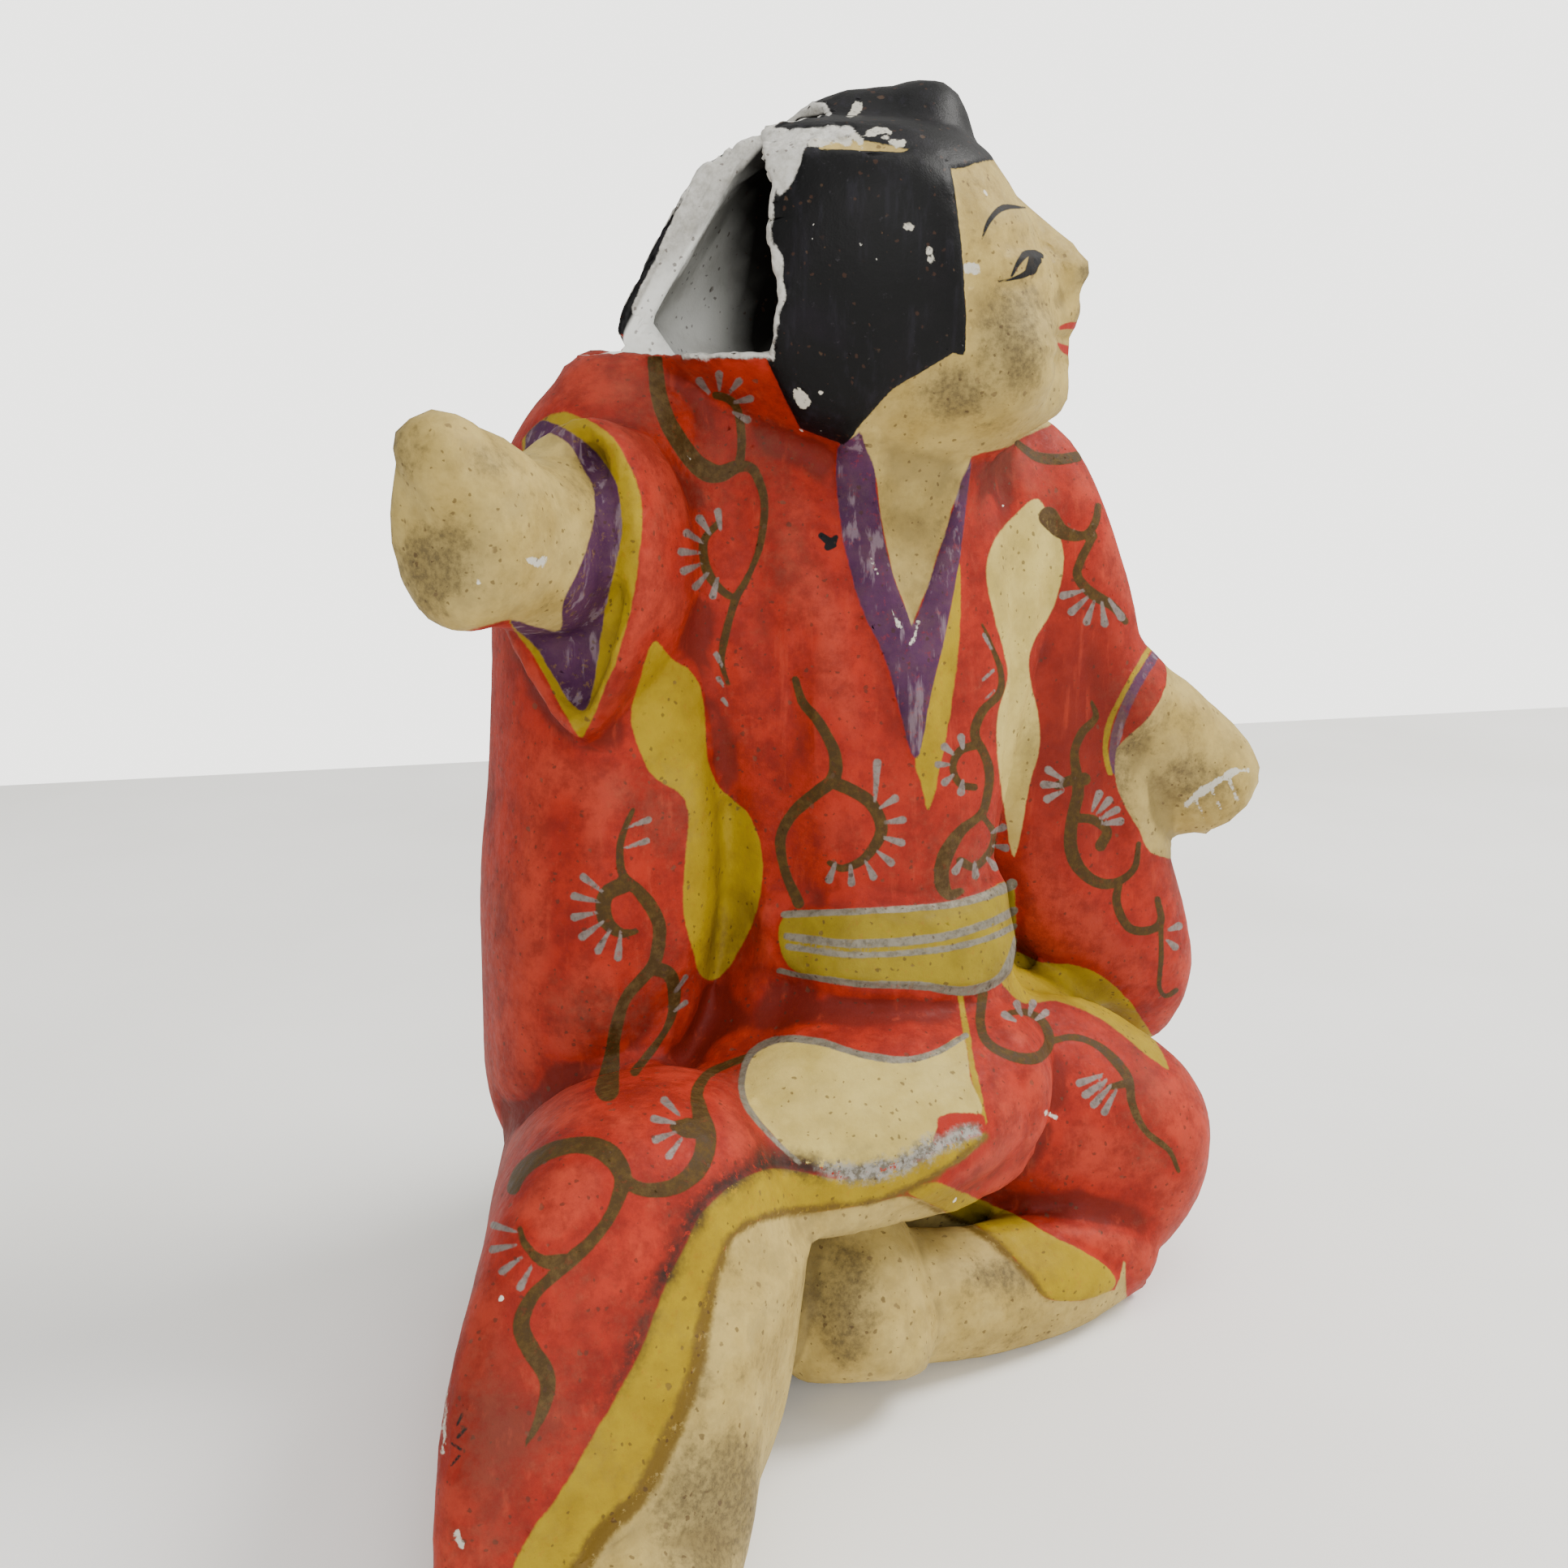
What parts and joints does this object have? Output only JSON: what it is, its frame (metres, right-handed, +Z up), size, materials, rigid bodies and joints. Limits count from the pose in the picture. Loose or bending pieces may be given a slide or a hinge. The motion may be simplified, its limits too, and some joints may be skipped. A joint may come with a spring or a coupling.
{
  "type": "clay doll",
  "caption": "Hollow press-moulded clay figure in a robe, seated with one leg folded and one raised, arms out, head turned to its left and broken open behind",
  "frame": {"origin": "under the seat, on the plane the doll rests on, below the middle of its waist", "axes": "+Z up, -Y the way the doll's chest faces, +X towards its left hand"},
  "size_m": [0.199, 0.1701, 0.2387],
  "materials": {
    "painted_clay": "matte painted unglazed clay, red robe with yellow, cream, purple and black"
  },
  "bodies": {
    "root": {"doll": "painted_clay"}
  },
  "joints": []
}
